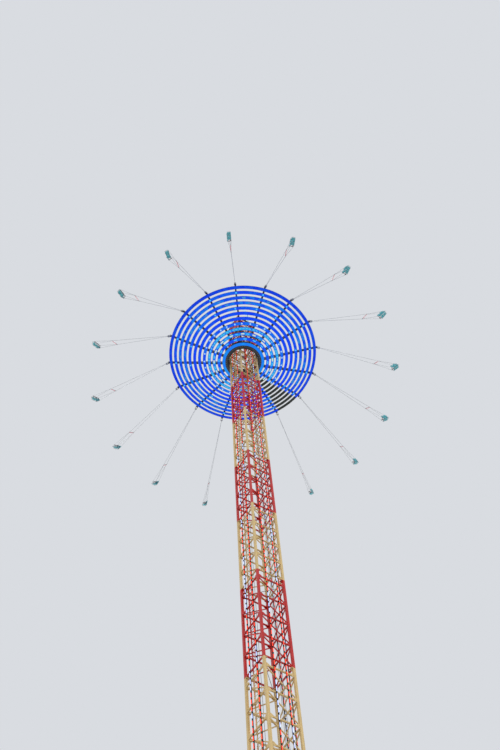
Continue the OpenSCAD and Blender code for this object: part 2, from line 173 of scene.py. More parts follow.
def end_material(material, tree, links, values):
    """Gives a material its shader, with the nodes that reach it and what its other sockets are set to."""
    shader = add(tree, "ShaderNodeBsdfPrincipled", links, values)
    add(tree, "ShaderNodeOutputMaterial", {"Surface": shader})
    return material


def gloss_paint(name, paint, grime, roughness=0.34, lower=None):
    """Brushed-on gloss paint on rolled steel: slight orange peel, faded patches, and rain streaks with grime.
    paint is the fresh and the faded shade. lower is another paint, for the lower one of each pair of the
    tower's sections."""
    material, tree = start_material(name)
    place = add(tree, "ShaderNodeTexCoord").outputs["Object"]
    # Patches about 60 mm across on the model
    patches = add(tree, "ShaderNodeTexNoise", {"Vector": place},
                  {"Scale": 1 / (60 * MM), "Detail": 3.0, "Roughness": 0.6})
    # Rain streaks 6 mm wide and 120 mm long, which run down the tower
    stretched = add(tree, "ShaderNodeMapping", {"Vector": place},
                    {"Scale": (1 / (6 * MM), 1 / (6 * MM), 1 / (120 * MM))})
    streaks = add(tree, "ShaderNodeTexNoise", {"Vector": stretched}, {"Scale": 1.0, "Detail": 4.0})
    body = add(tree, "ShaderNodeValToRGB", {"Fac": patches}, stops=[(0.35, paint[0]), (0.75, paint[1])])
    if lower:
        second = add(tree, "ShaderNodeValToRGB", {"Fac": patches}, stops=[(0.35, lower[0]), (0.75, lower[1])])
        height = add(tree, "ShaderNodeSeparateXYZ", {"Vector": place}).outputs["Z"]
        pairs = add(tree, "ShaderNodeMapRange", {"Value": height},
                    {"From Min": BASE_TOP, "From Max": BASE_TOP + 2 * SECTION}, clamp=False)
        within = add(tree, "ShaderNodeMath", {0: pairs}, operation="FRACT")
        is_lower = add(tree, "ShaderNodeMath", {0: within}, {1: 0.5}, operation="LESS_THAN")
        body = add(tree, "ShaderNodeMix", {"Factor": is_lower, "A": body, "B": second},
                   data_type="RGBA").outputs["Result"]
    mask = add(tree, "ShaderNodeValToRGB", {"Fac": streaks}, stops=[(0.56, 0), (0.72, 0.45)])
    dirty = add(tree, "ShaderNodeMix", {"Factor": mask, "A": body}, {"B": grime}, data_type="RGBA")
    rough = add(tree, "ShaderNodeMapRange", {"Value": streaks},
                {"To Min": roughness - 0.06, "To Max": roughness + 0.2})
    # Orange peel, drawn at 1.5 mm so that it shows
    peel = add(tree, "ShaderNodeTexNoise", {"Vector": place}, {"Scale": 1 / (1.5 * MM), "Detail": 1.0})
    bump = add(tree, "ShaderNodeBump", {"Height": peel}, {"Strength": 0.12, "Distance": 0.2 * MM})
    return end_material(material, tree, {"Base Color": dirty.outputs["Result"], "Roughness": rough,
                                         "Normal": bump}, {"IOR": 1.5})


def crystal_metal(name, light, dark, roughness=0.38, crystal=3 * MM):
    """Metal with a crystalline skin, as a zinc coat has: a spangle in shades of grey, a soft sheen, and dull
    patches about 30 mm across. crystal is the spangle's width."""
    material, tree = start_material(name)
    place = add(tree, "ShaderNodeTexCoord").outputs["Object"]
    spangle = add(tree, "ShaderNodeTexVoronoi", {"Vector": place}, {"Scale": 1 / crystal})
    tone = add(tree, "ShaderNodeValToRGB", {"Fac": spangle.outputs["Color"]},
               stops=[(0.2, dark), (0.8, light)])
    cloud = add(tree, "ShaderNodeTexNoise", {"Vector": place}, {"Scale": 1 / (30 * MM), "Detail": 3.0})
    rough = add(tree, "ShaderNodeMapRange", {"Value": cloud},
                {"To Min": roughness - 0.08, "To Max": roughness + 0.2})
    bump = add(tree, "ShaderNodeBump", {"Height": spangle.outputs["Distance"]},
               {"Strength": 0.1, "Distance": 0.2 * MM})
    return end_material(material, tree, {"Base Color": tone, "Roughness": rough, "Normal": bump},
                        {"Metallic": 0.85})


def lamp_plastic(name, lit, edge, strength, base):
    """Opal polycarbonate over a lamp: an almost even glow between two shades, under a smooth gloss skin."""
    material, tree = start_material(name)
    place = add(tree, "ShaderNodeTexCoord").outputs["Object"]
    # Diffuser texture, drawn at 4 mm
    cloud = add(tree, "ShaderNodeTexNoise", {"Vector": place}, {"Scale": 1 / (4 * MM), "Detail": 2.0})
    glow = add(tree, "ShaderNodeValToRGB", {"Fac": cloud}, stops=[(0.3, edge), (0.6, lit)])
    return end_material(material, tree, {"Emission Color": glow},
                        {"Emission Strength": strength, "Base Color": base, "Roughness": 0.25, "IOR": 1.58})


def moulded_plastic(name, colour, shade, roughness, grain):
    """Moulded plastic or rubber: one colour through, a fine moulded grain and slightly uneven gloss."""
    material, tree = start_material(name)
    place = add(tree, "ShaderNodeTexCoord").outputs["Object"]
    # Clouds about 20 mm across
    cloud = add(tree, "ShaderNodeTexNoise", {"Vector": place}, {"Scale": 1 / (20 * MM), "Detail": 3.0})
    tone = add(tree, "ShaderNodeValToRGB", {"Fac": cloud}, stops=[(0.3, shade), (0.7, colour)])
    rough = add(tree, "ShaderNodeMapRange", {"Value": cloud},
                {"To Min": roughness - 0.05, "To Max": roughness + 0.12})
    pebble = add(tree, "ShaderNodeTexNoise", {"Vector": place}, {"Scale": 1 / grain, "Detail": 1.0})
    bump = add(tree, "ShaderNodeBump", {"Height": pebble}, {"Strength": 0.15, "Distance": 0.2 * MM})
    return end_material(material, tree, {"Base Color": tone, "Roughness": rough, "Normal": bump},
                        {"IOR": 1.5})


def wire_rope_steel(name):
    """Greased stranded wire rope: dark bright steel with the lay of the strands winding round it."""
    material, tree = start_material(name)
    place = add(tree, "ShaderNodeTexCoord").outputs["Object"]
    # Strands that cross the rope every 3.3 mm; the slanted bands repeat every tau / 10 at a scale of 1
    lay = add(tree, "ShaderNodeTexWave", {"Vector": place}, {"Scale": math.tau / 10 / (3.3 * MM)},
              wave_type="BANDS", bands_direction="DIAGONAL")
    tone = add(tree, "ShaderNodeValToRGB", {"Fac": lay}, stops=[(0.2, "#5b5d60"), (0.8, "#84878a")])
    bump = add(tree, "ShaderNodeBump", {"Height": lay}, {"Strength": 0.5, "Distance": 0.4 * MM})
    return end_material(material, tree, {"Base Color": tone, "Normal": bump},
                        {"Metallic": 0.8, "Roughness": 0.42})


def turned_steel(name):
    """Turned and ground bearing steel: bright, with fine rings round its axis."""
    material, tree = start_material(name)
    place = add(tree, "ShaderNodeTexCoord").outputs["Object"]
    # Rings about 5.2 mm apart; they repeat every tau / 20 at a scale of 1
    rings = add(tree, "ShaderNodeTexWave", {"Vector": place}, {"Scale": math.tau / 20 / (5.236 * MM)},
                wave_type="RINGS", rings_direction="Z")
    tone = add(tree, "ShaderNodeValToRGB", {"Fac": rings}, stops=[(0.0, "#9b9ea1"), (1.0, "#c3c6c8")])
    bump = add(tree, "ShaderNodeBump", {"Height": rings}, {"Strength": 0.2, "Distance": 0.1 * MM})
    return end_material(material, tree, {"Base Color": tone, "Normal": bump},
                        {"Metallic": 1.0, "Roughness": 0.28})


def hoop_light(name):
    """Blue lamp channel under matt opal polycarbonate: a shade for each hoop, over rows of lamp beads."""
    material, tree = start_material(name)
    place = add(tree, "ShaderNodeTexCoord").outputs["Object"]
    split = add(tree, "ShaderNodeSeparateXYZ", {"Vector": place})
    x, y = split.outputs["X"], split.outputs["Y"]
    flat = add(tree, "ShaderNodeCombineXYZ", {"X": x, "Y": y})
    radius = add(tree, "ShaderNodeVectorMath", {0: flat}, operation="LENGTH").outputs["Value"]
    angle = add(tree, "ShaderNodeMath", {0: y, 1: x}, operation="ARCTAN2")
    inner = FIRST_R - HOOP_PITCH / 2
    ring = add(tree, "ShaderNodeMapRange", {"Value": radius},
               {"From Min": inner, "From Max": inner + HOOPS * HOOP_PITCH})
    # From the hub out: a cyan hoop, a blue one, two half cyan ones, then plain blue that deepens to the rim
    shades = ["#147cf5", "#0c4cf0", "#0f62f2", "#0f62f2", "#0a50f2", "#0843f2",
              "#0740f2", "#094af0", "#094cec", "#094ae8", "#0842ea", "#0839dc"]
    # How much of each hoop turns cyan in slow stretches about 60 mm long
    shares = [0.5, 0.2, 0.9, 1.0, 0.3, 0.1, 0.1, 0.25, 0.4, 0.4, 0.2, 0.1]
    shade, share = [add(tree, "ShaderNodeValToRGB", {"Fac": ring},
                        stops=[(i / HOOPS, level) for i, level in enumerate(levels)])
                    for levels in (shades, shares)]
    for band in (shade, share):
        band.color_ramp.interpolation = "CONSTANT"
    cloud = add(tree, "ShaderNodeTexNoise", {"Vector": place}, {"Scale": 1 / (60 * MM), "Detail": 1.0})
    patch = add(tree, "ShaderNodeValToRGB", {"Fac": cloud}, stops=[(0.48, 0), (0.56, 1)])
    weight = add(tree, "ShaderNodeMath", {0: patch, 1: share}, operation="MULTIPLY")
    mixed = add(tree, "ShaderNodeMix", {"Factor": weight, "A": shade}, {"B": "#189cf0"}, data_type="RGBA")
    # Lamp beads 12 mm apart along the hoop and 9 mm apart across it
    along = add(tree, "ShaderNodeMath", {0: angle, 1: radius}, operation="MULTIPLY")
    waves = []
    for length, pitch in ((along, 12 * MM), (radius, 9 * MM)):
        turns = add(tree, "ShaderNodeMath", {0: length}, {1: math.tau / pitch}, operation="MULTIPLY")
        waves.append(add(tree, "ShaderNodeMath", {0: turns}, operation="COSINE"))
    beads = add(tree, "ShaderNodeMath", {0: waves[0], 1: waves[1]}, operation="ADD")
    level = add(tree, "ShaderNodeMapRange", {"Value": beads},
                {"From Min": -2.0, "From Max": 2.0, "To Min": 0.8, "To Max": 1.15})
    glow = add(tree, "ShaderNodeVectorMath", {0: mixed.outputs["Result"], 1: level}, operation="MULTIPLY")
    return end_material(material, tree, {"Emission Color": glow},
                        {"Emission Strength": 1.0, "Base Color": "#03103a", "Roughness": 0.5,
                         "Specular IOR Level": 0.1})


def matt_floor(name, colour):
    """Plain matt floor, which takes the shadow and shows no gloss."""
    material, tree = start_material(name)
    return end_material(material, tree, {}, {"Base Color": colour, "Roughness": 0.9})


# Each paint's fresh and faded shade
CREAM_PAINT = ("#d3b880", "#c4a970")
RED_PAINT = ("#c0120c", "#a8160f")
CREAM = gloss_paint("cream_gloss_paint", CREAM_PAINT, "#7a6238")
RED = gloss_paint("red_gloss_paint", RED_PAINT, "#4e0f0a")
BANDED = gloss_paint("cream_and_red_gloss_paint", CREAM_PAINT, "#5c2c1c", 0.36, RED_PAINT)
MACHINE = gloss_paint("dark_machine_enamel", ("#3a4048", "#2c3138"), "#1a1c1f", 0.42)
ARM_BLUE = gloss_paint("blue_grey_enamel", ("#2b3550", "#232b42"), "#141a28", 0.4)
# Hot-dip zinc has a spangle of some millimetres, drawn coarser than scale so that it shows
ZINC = crystal_metal("hot_dip_galvanised_steel", "#a9adb0", "#7e8387")
# Zinc plate has a far finer grain than a hot-dip coat
CHAIN_ZINC = crystal_metal("zinc_plated_chain_steel", "#adb1b5", "#9fa3a7", 0.3, 0.8 * MM)
# Anodising leaves a dark satin skin with a faint mottle
RAIL = crystal_metal("dark_anodised_aluminium", "#3c3e42", "#2c2e31", 0.35)
ROPE = wire_rope_steel("greased_wire_rope")
RACE = turned_steel("turned_bearing_steel")
TYRE = moulded_plastic("polyurethane_tyre", "#26272a", "#1b1c1e", 0.5, 1 * MM)
BLACK = moulded_plastic("black_nylon", "#1c1d1f", "#131415", 0.45, 1.2 * MM)
FOAM = moulded_plastic("black_foam_sleeve", "#202225", "#151618", 0.75, 0.8 * MM)
SEAT_TEAL = moulded_plastic("teal_glass_fibre_shell", "#2f8f9c", "#24798a", 0.22, 4 * MM)
UNLIT = moulded_plastic("unlit_smoked_polycarbonate", "#12211f", "#0c1716", 0.3, 4 * MM)
BLUE_GLOW = hoop_light("blue_lamp_channel")
RED_TUBE = lamp_plastic("orange_red_lit_tube", "#ff4412", "#f82606", 1.1, "#b02208")
WHITE_TUBE = lamp_plastic("blue_white_lit_tube", "#c4d2ff", "#9cb2ff", 1.0, "#9aa8d0")
CROWN_GLOW = lamp_plastic("pale_cyan_lit_tube", "#96dcf0", "#62c4ea", 0.9, "#5a8896")
CYAN_LAMP = lamp_plastic("cyan_lamp_dome", "#3cc4fa", "#22a4ee", 0.95, "#104a68")
PALE_LAMP = lamp_plastic("pale_lamp_dome", "#a4d6fa", "#78bcf4", 0.9, "#3c5868")
WARM_LAMP = lamp_plastic("warm_white_lamp_bar", "#dce8bc", "#a8dcc8", 0.9, "#5c6450")
DIM_LAMP = lamp_plastic("dim_teal_lamp_bar", "#1e8cc8", "#1c7cd0", 0.9, "#0c3450")
TEAL_LAMP = lamp_plastic("teal_lamp_bar", "#54cce4", "#30b0e0", 0.9, "#164e60")
SEAT_LAMP = lamp_plastic("teal_lamp_dome", "#46dce2", "#28b4c4", 1.0, "#1c6470")
ROSE_TUBE = lamp_plastic("dim_rose_lit_tube", "#c06a72", "#a04a58", 0.9, "#8a4048")


# Mesh making

def around(count):
    """Equal steps of a full turn."""
    return [math.tau * i / count for i in range(count)]


class Shape:
    """Collects the vertices and faces of one joined mesh."""

    def __init__(self):
        self.points = []
        self.faces = []

    def take(self, points, faces, place=None):
        """Adds points and faces, moved by a matrix if one is given."""
        first = len(self.points)
        if place is not None:
            points = [place @ Vector(p) for p in points]
        self.points += [tuple(p) for p in points]
        self.faces += [tuple(first + i for i in face) for face in faces]
        return self

    def copies(self, other, places):
        """Adds one copy of another shape at each matrix."""
        for place in places:
            self.take(other.points, other.faces, place)
        return self

    def loft(self, rings, closed=False, place=None):
        """Joins rings of equally many points, and covers both ends, or joins the last ring to the first. Each
        ring runs anticlockwise as seen from where the next one lies."""
        n = len(rings[0])
        faces = []
        for k in range(len(rings) if closed else len(rings) - 1):
            a, b = k * n, (k + 1) % len(rings) * n
            faces += [(a + i, a + (i + 1) % n, b + (i + 1) % n, b + i) for i in range(n)]
        if not closed:
            last = (len(rings) - 1) * n
            faces += [tuple(reversed(range(n))), tuple(range(last, last + n))]
        return self.take([point for ring in rings for point in ring], faces, place)

    def block(self, low, high, chamfer=0.0):
        """A block between two corners, with its upright edges cut back by the chamfer."""
        (x0, y0, z0), (x1, y1, z1) = low, high
        c = chamfer
        outline = [(x0 + c, y0), (x1 - c, y0), (x1, y0 + c), (x1, y1 - c),
                   (x1 - c, y1), (x0 + c, y1), (x0, y1 - c), (x0, y0 + c)]
        if not chamfer:
            outline = outline[::2]
        return self.loft([[(x, y, z) for x, y in outline] for z in (z0, z1)])

    def plate(self, outline, front, back):
        """A plate between two places on Y, with its outline in X and Z anticlockwise as seen from -Y."""
        return self.loft([[(x, y, z) for x, z in outline] for y in (back, front)])

    def lathe(self, profile, sides, place=None, closed=False):
        """Turns a profile of (radius, height) points round Z. A radius of 0 closes an end, and closed joins
        the last point to the first."""
        points, rings = [], []
        for radius, height in profile:
            if radius == 0:
                rings.append([len(points)] * sides)
                points.append((0, 0, height))
                continue
            rings.append(list(range(len(points), len(points) + sides)))
            points += [(radius * math.cos(a), radius * math.sin(a), height) for a in around(sides)]
        if closed:
            rings.append(rings[0])
        faces = []
        for lower, upper in zip(rings, rings[1:]):
            for i in range(sides):
                j = (i + 1) % sides
                # A face at the axis has only three points
                faces.append(tuple(dict.fromkeys((lower[i], lower[j], upper[j], upper[i]))))
        return self.take(points, faces, place)

    def bar(self, half, sides, place):
        """A bar turned round Z, both halves alike. half is its profile from the upper end to the middle."""
        return self.lathe([(radius, -height) for radius, height in half] + half[::-1], sides, place)

    def sweep(self, path, radius, sides, closed=False):
        """A round bar along a path of points, with flat ends where it isn't closed."""
        path = [Vector(p) for p in path]
        count = len(path)
        rings = []
        side = None
        for k, point in enumerate(path):
            ahead = path[(k + 1) % count] if closed or k + 1 < count else point
            behind = path[k - 1] if closed or k else point
            along = (ahead - behind).normalized()
            if side is None:
                side = along.orthogonal()
            side = (side - along * side.dot(along)).normalized()
            other = along.cross(side)
            rings.append([point + (side * math.cos(a) + other * math.sin(a)) * radius for a in around(sides)])
        return self.loft(rings, closed)

    def mesh(self, name, material):
        """The mesh with its finish, shaded smooth over edges of up to 40 degrees."""
        mesh = bpy.data.meshes.new(name)
        mesh.from_pydata(self.points, [], self.faces)
        mesh.materials.append(material)
        mesh.polygons.foreach_set("use_smooth", [True] * len(mesh.polygons))
        mesh.set_sharp_from_angle(angle=math.radians(40))
        mesh.update()
        return mesh

    def make(self, name, material, body, slot):
        """Makes the one object of this mesh, riding on a body."""
        return put(self.mesh(name, material), name, body)


def link(name, data):
    """Puts a mesh, a light or a camera in the scene as an object."""
    thing = bpy.data.objects.new(name, data)
    bpy.context.scene.collection.objects.link(thing)
    return thing


def put(mesh, name, body, place=None):
    """Puts a mesh in the scene as one piece that rides on a body."""
    piece = link(name, mesh)
    if place is not None:
        piece.matrix_world = place
    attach(piece, body)
    return piece


def shift(x, y, z):
    """A move, as a matrix."""
    return Matrix.Translation((x, y, z))


def turn(angle, axis="Z"):
    """A turn round an axis through the origin, as a matrix."""
    return Matrix.Rotation(angle, 4, axis)


# The turns that carry what is made for the tower's -Y face to all four, and what is made along +X to the arms
FACES = [turn(a) for a in around(4)]
ARM_TURNS = [turn(ARM_PHASE + a) for a in around(ARMS)]
# The turns of what stands on z = 0 to hang under it, to stand out of the -Y face, and to lie along X
HANG = turn(math.pi, "X")
STAND_OUT = turn(math.pi / 2, "X")
ALONG_X = turn(math.pi / 2, "Y")


def bolt(radius, height):
    """A hexagon bolt head on its washer, standing on z = 0."""
    washer_r, washer_t = radius * 1.35, height * 0.25
    return Shape().lathe([(washer_r, 0), (washer_r, washer_t), (radius, washer_t), (radius, height),
                          (0, height)], 6)


def dome(radius, height):
    """A shallow lamp dome that stands on z = 0, with its foot just below."""
    return Shape().lathe([(radius, -0.5 * MM), (radius, height * 0.3), (radius * 0.8, height * 0.75),
                          (radius * 0.4, height * 0.95), (0, height)], 16)


def lamp_bar(length, width, height):
    """A lamp bar with rounded ends that stands on z = 0, long in Y."""
    r = width / 2
    end = [(r * math.cos(a), length / 2 - r + r * math.sin(a)) for a in around(12)[:7]]
    outline = end + [(-x, -y) for x, y in end]
    # Share of the width that each layer keeps, and its height
    layers = [(1, -0.5 * MM), (1, height * 0.4), (0.7, height)]
    return Shape().loft([[(x * share, y * (1 - (1 - share) * width / length), z) for x, y in outline]
                         for share, z in layers])


# Finishes of the pieces that come from the frame

def dress_frame():
    """Gives each of the frame's nodes the finish of its slot. The ladder is painted in the tower's bands."""
    finish = {"cream_paint": CREAM, "red_paint": RED, "dark_steel": MACHINE, "arm_paint": ARM_BLUE,
              "galvanised": ZINC, "bright_steel": RACE, "wire_rope": ROPE, "strip_rail": RAIL,
              "roller_tyre": TYRE, "crown_light": CROWN_GLOW, "blue_light": BLUE_GLOW,
              "unlit_light": UNLIT, "seat_shell": SEAT_TEAL}
    for part in frame["record"]["subparts"]:
        mesh = frame["nodes"][part["node"]].data
        mesh.materials.clear()
        mesh.materials.append(BANDED if part["node"] == "ladder" else finish[part["material_slot"]])


# Tower

def brace_levels():
    """Heights of the horizontal braces, by the colour of their band. The base section is a cream one."""
    splice = BASE_TOP - SPLICE
    levels = {"red": [], "cream": [(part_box("tower_base_section")[0].z + splice) / 2, splice]}
    for index, low in enumerate(SECTION_LOWS):
        levels["cream" if index % 2 else "red"] += [low + b * BAY for b in range(1, BAYS + 1)]
    return levels


def gusset():
    """A corner plate on the outside of the braces with three bolts, for the -Y face's right leg."""
    # Corners and bolts in mm from the leg's inner edge
    corners = [(2, -17), (2, 17), (-10, 17), (-26, 5), (-26, -5), (-10, -17)]
    bolts = [(-6, 10), (-18, 0), (-6, -10)]
    back = -(LEG_MID + BRACE / 2)
    front = back - 1.8 * MM
    shape = Shape().plate([(LEG_IN + x * MM, z * MM) for x, z in corners], front, back)
    places = [shift(LEG_IN + x * MM, front, z * MM) @ STAND_OUT for x, z in bolts]
    return shape.copies(bolt(1.8 * MM, 1.4 * MM), places)


def make_gussets():
    """Gusset plates where the braces meet the legs, in the colour of their band."""
    right = gusset()
    left = Shape().take([(-x, y, z) for x, y, z in right.points], [face[::-1] for face in right.faces])
    levels = brace_levels()
    for colour, material in (("red", RED), ("cream", CREAM)):
        places = [face @ shift(0, 0, z) for z in levels[colour] for face in FACES]
        shape = Shape().copies(right, places).copies(left, places)
        shape.make(f"gussets_{colour}", material, "tower", f"{colour}_paint")


def make_flange_bolts():
    """Three bolts with nuts through each pair of leg flanges."""
    flange_t = 4 * MM
    inner, outer = LEG_IN - 6 * MM, HALF_TOWER - 8 * MM
    head = bolt(2.4 * MM, 2 * MM)
    shape = Shape()
    for z in SECTION_LOWS:
        for face in FACES:
            for x, y in ((inner, inner), (inner, outer), (outer, inner)):
                shape.copies(head, [face @ shift(x, -y, z + flange_t),
                                    face @ shift(x, -y, z - flange_t) @ HANG])
    shape.make("flange_bolts", ZINC, "tower", "galvanised")


def make_plan_bracing():
    """A round diagonal across the tower at each splice, turned a quarter from one to the next."""
    shape = Shape()
    reach = LEG_IN + 1 * MM
    for index, low in enumerate(SECTION_LOWS):
        z = low + BAYS * BAY
        y = reach if index % 2 else -reach
        shape.sweep([(-reach, -y, z), (reach, y, z)], 2.5 * MM, 8)
    shape.make("plan_bracing", ZINC, "tower", "galvanised")


def make_ladder_rungs():
    """Round rungs between the ladder's stringers."""
    low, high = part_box("ladder")
    x = high.x - 3.5 * MM
    y0, y1 = low.y + 2 * MM, high.y - 2 * MM
    pitch = 30 * MM
    shape = Shape()
    for k in range(1, int((high.z - low.z) / pitch)):
        z = low.z + k * pitch
        shape.sweep([(x, y0, z), (x, y1, z)], 1.4 * MM, 6)
    shape.make("ladder_rungs", BANDED, "tower", "galvanised")


# Light strips

def tube_ends():
    """Both black end caps of a tube, with the clips that hold them to the rail, opening to +Y."""
    shape = Shape()
    cap_r = TUBE_R + 0.5 * MM
    clip_x, clip_inset = 3.4 * MM, 0.8 * MM
    for low in (-TUBE_CAP, TUBE_LIT):
        high = low + TUBE_CAP
        shape.lathe([(0, low), (cap_r, low), (cap_r, high), (0, high)], 10)
        shape.block((-clip_x, 0, low + clip_inset), (clip_x, TUBE_STAND + 1 * MM, high - clip_inset))
    return shape


def make_strips():
    """Dashed light tubes on every rail: most glow orange red, and short runs of them glow blue white."""
    chance = random.Random(7)
    red, white, caps = Shape(), Shape(), Shape()
    tube = Shape().lathe([(TUBE_R, 0), (TUBE_R, TUBE_LIT)], 10)
    ends = tube_ends()
    for face in FACES:
        for side in (-1, 1):
            run = 0
            for k in range(int((TOWER_TOP - STRIP_LOW) / TUBE_PITCH)):
                if run == 0 and chance.random() < WHITE_CHANCE:
                    run = chance.choice(WHITE_RUNS)
                z = STRIP_LOW + (k + 0.5) * TUBE_PITCH - TUBE_LIT / 2
                place = face @ shift(side * STRIP_X, -STRIP_FACE - TUBE_STAND, z)
                (white if run else red).copies(tube, [place])
                caps.copies(ends, [place])
                run = max(run - 1, 0)
    red.make("strip_tubes_red", RED_TUBE, "tower", "crown_light")
    white.make("strip_tubes_white", WHITE_TUBE, "tower", "crown_light")
    caps.make("strip_tube_ends", BLACK, "tower", "strip_rail")


# Crown and head

def make_crown():
    """Lamp domes round both crown rings, and the clamps that hold the rings to their posts."""
    low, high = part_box("crown_rings")
    tube_r = 3 * MM
    ring_r = high.x - tube_r
    lamp = dome(5 * MM, 4 * MM)
    clamp = Shape().block((-9 * MM, -5 * MM, -5 * MM), (3 * MM, 5 * MM, 5 * MM), 1.5 * MM)
    lamps, clamps = Shape(), Shape()
    for z in (low.z + tube_r, high.z - tube_r):
        lamps.copies(lamp, [turn(a) @ shift(ring_r, 0, z - 2 * MM) @ HANG for a in around(32)])
        clamps.copies(clamp, [turn(math.pi / 4 + a) @ shift(ring_r, 0, z) for a in around(4)])
    lamps.make("crown_lamps", PALE_LAMP, "tower", "crown_light")
    clamps.make("crown_clamps", BLACK, "tower", "galvanised")


def make_head_grating():
    """Open bar grating between the head frame's beams, with its bearing bars."""
    top = TOWER_TOP + 20 * MM
    reach_x, reach_y = HALF_TOWER - 16 * MM, 70 * MM
    half_bar = 1 * MM
    shape = Shape()
    for k in range(-6, 7):
        y = k * 11 * MM
        shape.block((-reach_x, y - half_bar, top - 5 * MM), (reach_x, y + half_bar, top))
    for k in range(-3, 4):
        x = k * 30 * MM
        shape.block((x - half_bar, -reach_y, top - 2.5 * MM), (x + half_bar, reach_y, top - 0.5 * MM))
    shape.make("head_grating", ZINC, "tower", "galvanised")


# Carriage and star

def make_carriage_bolts():
    """Rings of bolts on the drum's flange, on the hub's upper plate and under the hub's floor."""
    drum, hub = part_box("carriage_drum")[1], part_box("hub_ring")[1]
    floor_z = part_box("hub_floor")[0].z
    head = bolt(2.6 * MM, 2.2 * MM)
    upper, lower = [[turn(a + math.pi / count) for a in around(count)] for count in (40, 48)]
    fixed = Shape().copies(head, [a @ shift(drum.x - 6 * MM, 0, drum.z) for a in upper])
    moving = Shape().copies(head, [a @ shift(hub.x - 8 * MM, 0, hub.z) for a in upper])
    moving.copies(head, [a @ shift(hub.x - 5 * MM, 0, floor_z) @ HANG for a in lower])
    fixed.make("carriage_bolts", ZINC, "carriage", "galvanised")
    moving.make("hub_bolts", ZINC, "star", "galvanised")


def make_roller_hubs():
    """A steel hub with its nut on both sides of every guide roller."""
    low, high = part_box("guide_rollers")
    roller_r, roller_side = 10 * MM, 8.3 * MM
    y = -(HALF_TOWER + GAP + roller_r)
    profile = [(5, 0), (5, 0.8), (3, 1), (3, 2.4), (0, 2.4)]
    hub = Shape().lathe([(r * MM, z * MM) for r, z in profile], 12)
    shape = Shape()
    for face in FACES:
        for leg in (-LEG_MID, LEG_MID):
            for z in (low.z + roller_r, high.z - roller_r):
                shape.copies(hub, [face @ shift(leg + side * roller_side, y, z)
                                   @ turn(side * math.pi / 2, "Y") for side in (-1, 1)])
    shape.make("roller_hubs", ZINC, "carriage", "galvanised")


def cone_z(radius):
    """Height of the light hoops' underside at a distance from the axis."""
    return STAR_Z - (LAST_R - radius) * RISE


def arm_heights(radius):
    """Lower and upper edge of an arm at a distance from the axis."""
    share = (radius - ARM_ROOT) / (ARM_TIP - ARM_ROOT)
    bottom = cone_z(radius) + HOOP_T + GAP
    return bottom, bottom + ARM_ROOT_H + (ARM_TIP_H - ARM_ROOT_H) * share


def arm_side(side, thick):
    """Both places on Y of something that lies on one side of an arm, the lower one first."""
    return sorted((side * ARM_W / 2, side * (ARM_W / 2 + thick)))


def make_arm_trim():
    """Stiffener ribs, edge strips and a cable conduit on every arm."""
    inner, outer = ARM_ROOT + 2 * MM, LAST_R + 40 * MM
    # The ribs and the lower strips stop short of the hanger plates, which swing past the arm's sides
    lower_end = LAST_R + 22 * MM
    strip_h = 2 * MM
    trim = Shape()
    for side in (-1, 1):
        y0, y1 = arm_side(side, 1.6 * MM)
        for k in range(HOOPS - 1):
            radius = FIRST_R + (k + 0.5) * HOOP_PITCH
            bottom, top = arm_heights(radius)
            trim.block((radius - 1.5 * MM, y0, bottom + 1 * MM), (radius + 1.5 * MM, y1, top - 1 * MM))
        y0, y1 = arm_side(side, 3 * MM)
        for end, is_upper in ((lower_end, False), (outer, True)):
            rings = []
            for radius in (inner, end):
                bottom, top = arm_heights(radius)
                z = top - strip_h if is_upper else bottom + 1.2 * MM
                rings.append([(radius, y0, z), (radius, y1, z), (radius, y1, z + strip_h),
                              (radius, y0, z + strip_h)])
            trim.loft(rings)
    path = []
    for k in range(9):
        radius = inner + 6 * MM + (outer - inner - 20 * MM) * k / 8
        path.append((radius, 0, arm_heights(radius)[1] + 2.2 * MM))
    conduit = Shape().sweep(path, 2 * MM, 8)
    Shape().copies(trim, ARM_TURNS).make("arm_trim", ARM_BLUE, "star", "arm_paint")
    Shape().copies(conduit, ARM_TURNS).make("arm_conduits", BLACK, "star", "strip_rail")


def make_hoop_rims():
    """Aluminium edges of every light hoop, and the clips that hang the hoops from the arms."""
    rim_t = 1.2 * MM
    rims, clips = Shape(), Shape()
    for k in range(HOOPS):
        radius = FIRST_R + k * HOOP_PITCH
        bottom = arm_heights(radius)[0]
        for side in (-1, 1):
            edge = radius + side * HOOP_W / 2
            r0, r1 = sorted((edge, edge + side * rim_t))
            z0, z1 = cone_z(edge) - 1 * MM, cone_z(edge) + HOOP_T + 0.2 * MM
            rims.lathe([(r0, z0), (r1, z0), (r1, z1), (r0, z1)], 192, closed=True)
            y0, y1 = arm_side(side, 2 * MM)
            clips.block((radius - 5 * MM, y0, bottom - 1.4 * MM), (radius + 5 * MM, y1, bottom + 10 * MM))
    rims.make("hoop_rims", RAIL, "star", "strip_rail")
    Shape().copies(clips, ARM_TURNS).make("hoop_clips", ZINC, "star", "galvanised")


